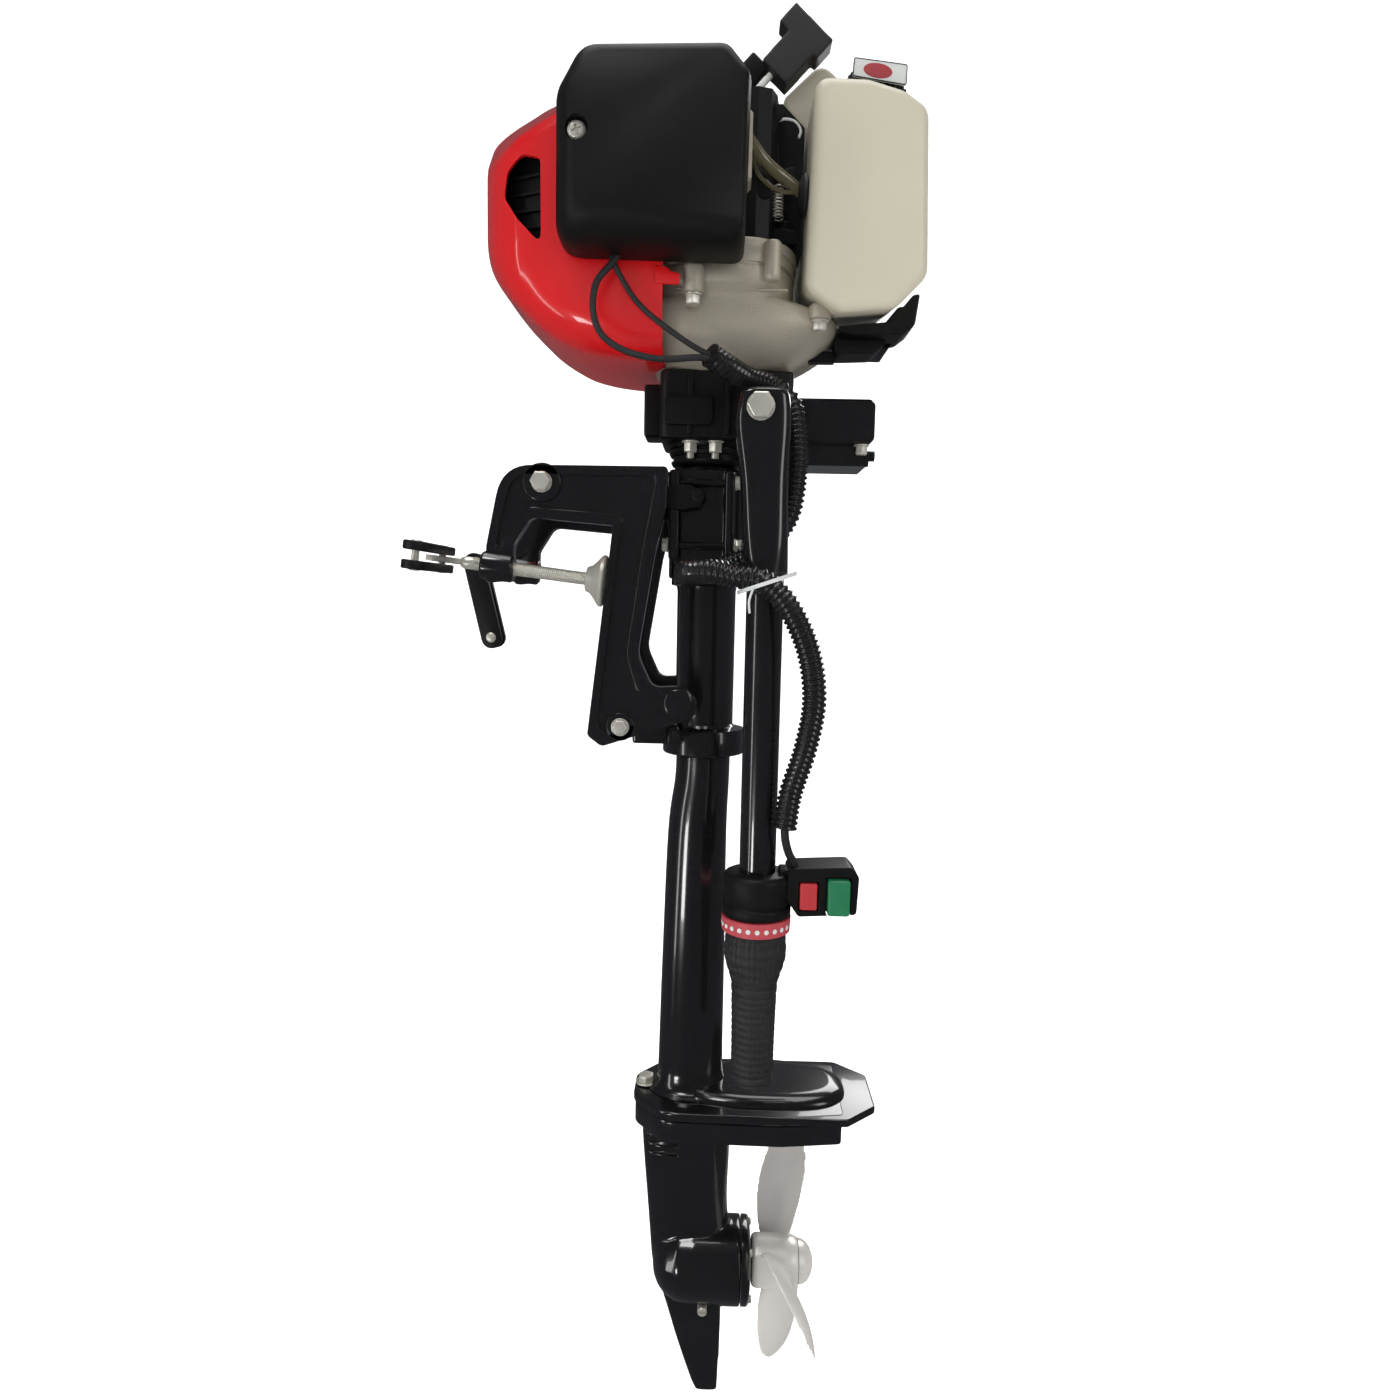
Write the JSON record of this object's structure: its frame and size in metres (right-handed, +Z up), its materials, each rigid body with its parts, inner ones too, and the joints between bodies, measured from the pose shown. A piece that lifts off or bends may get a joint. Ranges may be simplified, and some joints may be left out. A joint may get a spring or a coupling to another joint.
{
  "type": "outboard motor",
  "caption": "Portable petrol outboard motor with screw transom clamp, tilting and steering drive leg, folding twist-grip tiller, pull starter and bladed propeller.",
  "frame": {"origin": "transom seat: the top inner corner of the jaw, midway between the two clamp plates", "axes": "+Z up, +X aft away from the boat, +Y starboard, the tiller being on the port side"},
  "size_m": [0.3127, 0.214, 0.9643],
  "materials": {
    "gloss_black": "gloss",
    "satin_black": "satin",
    "black_plastic": "satin",
    "red_cover": "gloss",
    "tank_white": "satin",
    "cast_aluminium": "cast",
    "propeller_alloy": "cast",
    "zinc_steel": "plated",
    "rubber_black": "matt",
    "button_red": "satin",
    "button_green": "satin",
    "rope_grey": "braided"
  },
  "bodies": {
    "clamp": {"clamp_plate_port": "gloss_black", "clamp_plate_starboard": "gloss_black", "tilt_pivot_bolt": "zinc_steel", "tilt_pivot_nut": "zinc_steel", "thrust_rod": "zinc_steel"},
    "pad_port": {"clamp_pad_port": "gloss_black"},
    "pad_starboard": {"clamp_pad_starboard": "gloss_black"},
    "screw_port": {"clamp_screw_port": "zinc_steel"},
    "screw_starboard": {"clamp_screw_starboard": "zinc_steel"},
    "lever_port": {"clamp_lever_port": "satin_black"},
    "lever_starboard": {"clamp_lever_starboard": "satin_black"},
    "swivel": {"swivel_bracket": "gloss_black", "upper_bush": "black_plastic", "lower_bush": "black_plastic", "pinch_bolt_upper": "zinc_steel", "pinch_bolt_lower": "zinc_steel"},
    "friction": {"friction_lever": "satin_black"},
    "motor": {"drive_leg": "gloss_black", "head_casting": "satin_black", "head_cover": "satin_black", "carry_block": "gloss_black", "gearcase": "gloss_black", "bearing_cap": "gloss_black", "gearcase_bolt": "zinc_steel", "drain_screw": "zinc_steel", "fan_housing": "cast_aluminium", "housing_bolt_front": "zinc_steel", "housing_bolt_rear": "zinc_steel", "crankcase": "satin_black", "cylinder": "cast_aluminium", "spark_plug": "black_plastic", "engine_shroud": "red_cover", "air_filter_cover": "black_plastic", "cover_screw": "zinc_steel", "carburettor": "cast_aluminium", "muffler": "satin_black", "recoil_housing": "black_plastic", "fuel_tank": "tank_white", "fuel_grommet": "rubber_black", "fuel_hose": "rubber_black", "engine_foot": "satin_black", "throttle_cable": "rubber_black", "stop_wire": "rubber_black", "conduit_upper": "rubber_black", "tiller_pivot_bolt": "zinc_steel"},
    "starter": {"starter_handle": "rubber_black", "starter_rope": "rope_grey"},
    "cap": {"fuel_cap": "black_plastic"},
    "crank": {"flywheel": "cast_aluminium"},
    "shaft": {"drive_shaft": "zinc_steel"},
    "prop": {"propeller": "propeller_alloy", "propeller_nut": "propeller_alloy", "propeller_shaft": "zinc_steel"},
    "tiller": {"tiller_arm": "gloss_black", "tiller_tube": "gloss_black", "switch_housing": "black_plastic", "conduit_lower": "rubber_black"},
    "grip": {"throttle_grip": "rubber_black"},
    "stop": {"stop_button": "button_red"},
    "start": {"start_button": "button_green"}
  },
  "joints": [
    {"name": "pad_port_slide", "type": "slide", "parent": "clamp", "child": "pad_port", "axis": [-0.9936, 0, 0.1132], "range_m": [0, 0.042]},
    {"name": "pad_starboard_slide", "type": "slide", "parent": "clamp", "child": "pad_starboard", "axis": [-0.9936, 0, 0.1132], "range_m": [0, 0.042]},
    {"name": "screw_port_turn", "type": "hinge", "parent": "pad_port", "child": "screw_port", "pos_m": [-0.001, -0.043, -0.0335], "axis": [-0.9936, 0, 0.1132], "range_deg": [0, 7560.01]},
    {"name": "screw_starboard_turn", "type": "hinge", "parent": "pad_starboard", "child": "screw_starboard", "pos_m": [-0.001, 0.043, -0.0335], "axis": [-0.9936, 0, 0.1132], "range_deg": [0, 7560.01]},
    {"name": "lever_port_fold", "type": "hinge", "parent": "screw_port", "child": "lever_port", "pos_m": [-0.1063, -0.043, -0.0215], "axis": [-0.1132, 0, -0.9936], "range_deg": [0, 80]},
    {"name": "lever_starboard_fold", "type": "hinge", "parent": "screw_starboard", "child": "lever_starboard", "pos_m": [-0.1063, 0.043, -0.0215], "axis": [0, 1, 0], "range_deg": [0, 80]},
    {"name": "tilt", "type": "hinge", "parent": "clamp", "child": "swivel", "pos_m": [-0.042, 0, 0.0275], "axis": [0, -1, 0], "range_deg": [0, 70]},
    {"name": "steering_friction", "type": "hinge", "parent": "swivel", "child": "friction", "pos_m": [0.056, -0.034, 0.022], "axis": [0, 1, 0], "range_deg": [0, 40]},
    {"name": "steer", "type": "hinge", "parent": "swivel", "child": "motor", "pos_m": [0.062, 0, 0], "axis": [0, 0, 1], "range_deg": [-15, 90]},
    {"name": "starter_pull", "type": "slide", "parent": "motor", "child": "starter", "axis": [0.6801, 0, 0.7331], "range_m": [0, 0.6], "deforming": ["starter_rope"]},
    {"name": "fuel_cap_twist", "type": "hinge", "parent": "motor", "child": "cap", "pos_m": [0.16, -0.022, 0.268], "axis": [0, 0, 1], "range_deg": [0, 360]},
    {"name": "crank_spin", "type": "hinge", "parent": "motor", "child": "crank", "pos_m": [0.062, 0, 0.15], "axis": [0, 0, 1], "continuous": true},
    {"name": "shaft_spin", "type": "hinge", "parent": "motor", "child": "shaft", "pos_m": [0.062, 0, -0.3], "axis": [0, 0, 1], "continuous": true},
    {"name": "prop_spin", "type": "hinge", "parent": "motor", "child": "prop", "pos_m": [0.12, 0, -0.524], "axis": [1, 0, 0], "continuous": true},
    {"name": "tiller_fold", "type": "hinge", "parent": "motor", "child": "tiller", "pos_m": [0.0925, -0.066, 0.071], "axis": [0, -1, 0], "range_deg": [0, 90], "deforming": ["conduit_upper"]},
    {"name": "throttle_twist", "type": "hinge", "parent": "tiller", "child": "grip", "pos_m": [0.0985, -0.066, -0.249], "axis": [0, 0, 1], "range_deg": [0, 80], "stiffness_Nm_per_rad": 0.05},
    {"name": "stop_press", "type": "slide", "parent": "tiller", "child": "stop", "axis": [0, 1, 0], "range_m": [0, 0.002], "stiffness_N_per_m": 300},
    {"name": "start_press", "type": "slide", "parent": "tiller", "child": "start", "axis": [0, 1, 0], "range_m": [0, 0.002], "stiffness_N_per_m": 300}
  ],
  "couplings": [
    {"joint": "screw_port_turn", "follows": "pad_port_slide", "rad_per_m": 3141.6},
    {"joint": "screw_starboard_turn", "follows": "pad_starboard_slide", "rad_per_m": 3141.6},
    {"joint": "shaft_spin", "follows": "prop_spin", "ratio": -1.75}
  ]
}
